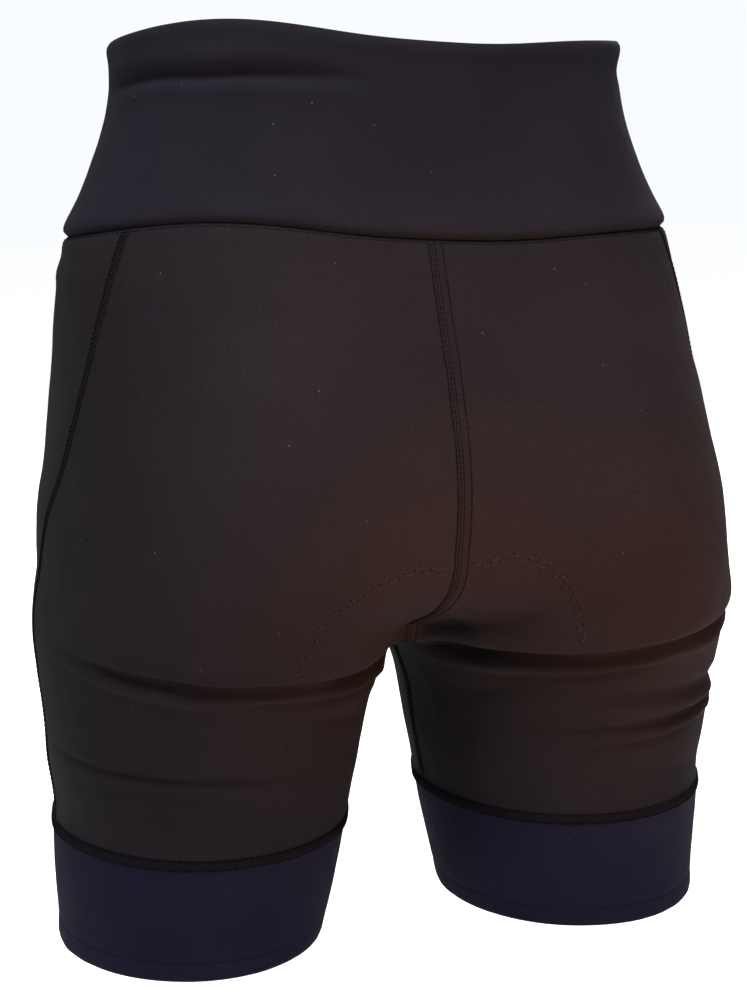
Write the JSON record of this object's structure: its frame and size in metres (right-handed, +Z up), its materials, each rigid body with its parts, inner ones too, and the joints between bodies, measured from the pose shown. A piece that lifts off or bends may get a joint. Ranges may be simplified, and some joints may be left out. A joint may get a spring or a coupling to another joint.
{
  "type": "padded cycling shorts",
  "caption": "Close-fitting padded cycling shorts in worn hollow shape, with a high folded waistband, curved side seams, a shaped seat pad and gripper cuffs.",
  "frame": {"origin": "centre of the waist opening, level with the waistband's top edge at the sides", "axes": "+Z up along the body, -Y the garment's front, +X the wearer's left"},
  "size_m": [0.3618, 0.2628, 0.46],
  "materials": {
    "band_knit": "matte fine black stretch knit, doubled",
    "body_knit": "matte black stretch knit",
    "cuff_knit": "matte navy elastic knit",
    "pad_knit": "soft brushed knit over foam"
  },
  "bodies": {
    "root": {"waistband": "band_knit", "back_left": "body_knit", "back_right": "body_knit", "front_left": "body_knit", "front_right": "body_knit", "cuff_left": "cuff_knit", "cuff_right": "cuff_knit", "chamois_pad": "pad_knit"}
  },
  "joints": []
}
